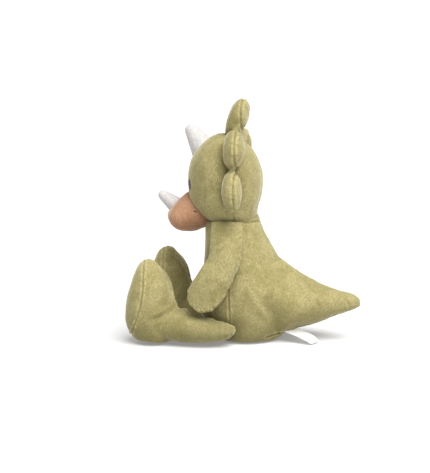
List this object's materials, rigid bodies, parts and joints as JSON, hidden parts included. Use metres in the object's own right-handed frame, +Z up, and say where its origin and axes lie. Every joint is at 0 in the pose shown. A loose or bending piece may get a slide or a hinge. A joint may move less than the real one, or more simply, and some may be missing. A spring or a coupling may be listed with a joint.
{
  "type": "stuffed dinosaur",
  "caption": "Seated plush horned dinosaur with a scalloped frill, brow and nose horns, floppy arms and legs and a tapering tail.",
  "frame": {"origin": "centre of the flat face that the toy sits on", "axes": "+Z up, the toy faces -Y, its left side is +X, the tail points to +Y"},
  "size_m": [0.1394, 0.2276, 0.2366],
  "materials": {
    "green_plush": "short pile",
    "peach_plush": "short pile",
    "white_plush": "short pile",
    "black_thread": "satin stitch",
    "label_ribbon": "woven ribbon",
    "stuffing": "loose fibre",
    "bag_cloth": "plain weave",
    "pellets": "matte beads"
  },
  "bodies": {
    "torso": {"seat_panel": "green_plush", "belly_panel": "green_plush", "body_side_left": "green_plush", "body_side_right": "green_plush", "body_stuffing": "stuffing", "pellet_bag": "bag_cloth", "bean_pellets": "pellets"},
    "tail": {"tail_side_left": "green_plush", "tail_side_right": "green_plush", "tail_stuffing": "stuffing"},
    "label": {"sewn_label": "label_ribbon"},
    "neck": {"neck_stuffing": "stuffing"},
    "head": {"head_face_left": "green_plush", "head_face_right": "green_plush", "head_back_left": "green_plush", "head_back_right": "green_plush", "head_stuffing": "stuffing", "muzzle_skin": "peach_plush", "muzzle_stuffing": "stuffing", "brow_horn_skin": "white_plush", "brow_horn_stuffing": "stuffing", "nose_horn_skin": "white_plush", "nose_horn_stuffing": "stuffing", "frill_front": "green_plush", "frill_back": "green_plush", "frill_stuffing": "stuffing", "eye_left": "black_thread", "eye_right": "black_thread", "mouth_stitches": "black_thread"},
    "arm_left": {"arm_left_outer": "green_plush", "arm_left_inner": "green_plush", "arm_left_stuffing": "stuffing"},
    "leg_left": {"leg_left_outer": "green_plush", "leg_left_inner": "green_plush", "leg_left_sole": "green_plush", "leg_left_stuffing": "stuffing"},
    "arm_right": {"arm_right_outer": "green_plush", "arm_right_inner": "green_plush", "arm_right_stuffing": "stuffing"},
    "leg_right": {"leg_right_outer": "green_plush", "leg_right_inner": "green_plush", "leg_right_sole": "green_plush", "leg_right_stuffing": "stuffing"}
  },
  "joints": [
    {"name": "head_turn", "type": "hinge", "parent": "torso", "child": "neck", "pos_m": [0, -0.014, 0.12], "axis": [0, 0, 1], "range_deg": [-25, 25], "stiffness_Nm_per_rad": 0.1},
    {"name": "head_nod", "type": "hinge", "parent": "neck", "child": "head", "pos_m": [0, -0.014, 0.12], "axis": [1, 0, 0], "range_deg": [-12, 8], "stiffness_Nm_per_rad": 0.3},
    {"name": "tail_swing", "type": "hinge", "parent": "torso", "child": "tail", "pos_m": [0, 0.04, 0.0366], "axis": [0, 0, 1], "range_deg": [-20, 20], "stiffness_Nm_per_rad": 0.05},
    {"name": "label_flap", "type": "hinge", "parent": "torso", "child": "label", "pos_m": [0.0222, 0.039, 0.00966], "axis": [0.4494, -0.8895, -0.0825], "range_deg": [0, 35]},
    {"name": "arm_left_lift", "type": "hinge", "parent": "torso", "child": "arm_left", "pos_m": [0.034, -0.0155, 0.115], "axis": [0, -1, 0], "range_deg": [0, 60]},
    {"name": "leg_left_splay", "type": "hinge", "parent": "torso", "child": "leg_left", "pos_m": [0.047, -0.009, 0.016], "axis": [0, 0, 1], "range_deg": [0, 40]},
    {"name": "arm_right_lift", "type": "hinge", "parent": "torso", "child": "arm_right", "pos_m": [-0.034, -0.0155, 0.115], "axis": [0, 1, 0], "range_deg": [0, 60]},
    {"name": "leg_right_splay", "type": "hinge", "parent": "torso", "child": "leg_right", "pos_m": [-0.047, -0.009, 0.016], "axis": [0, 0, -1], "range_deg": [0, 40]}
  ]
}
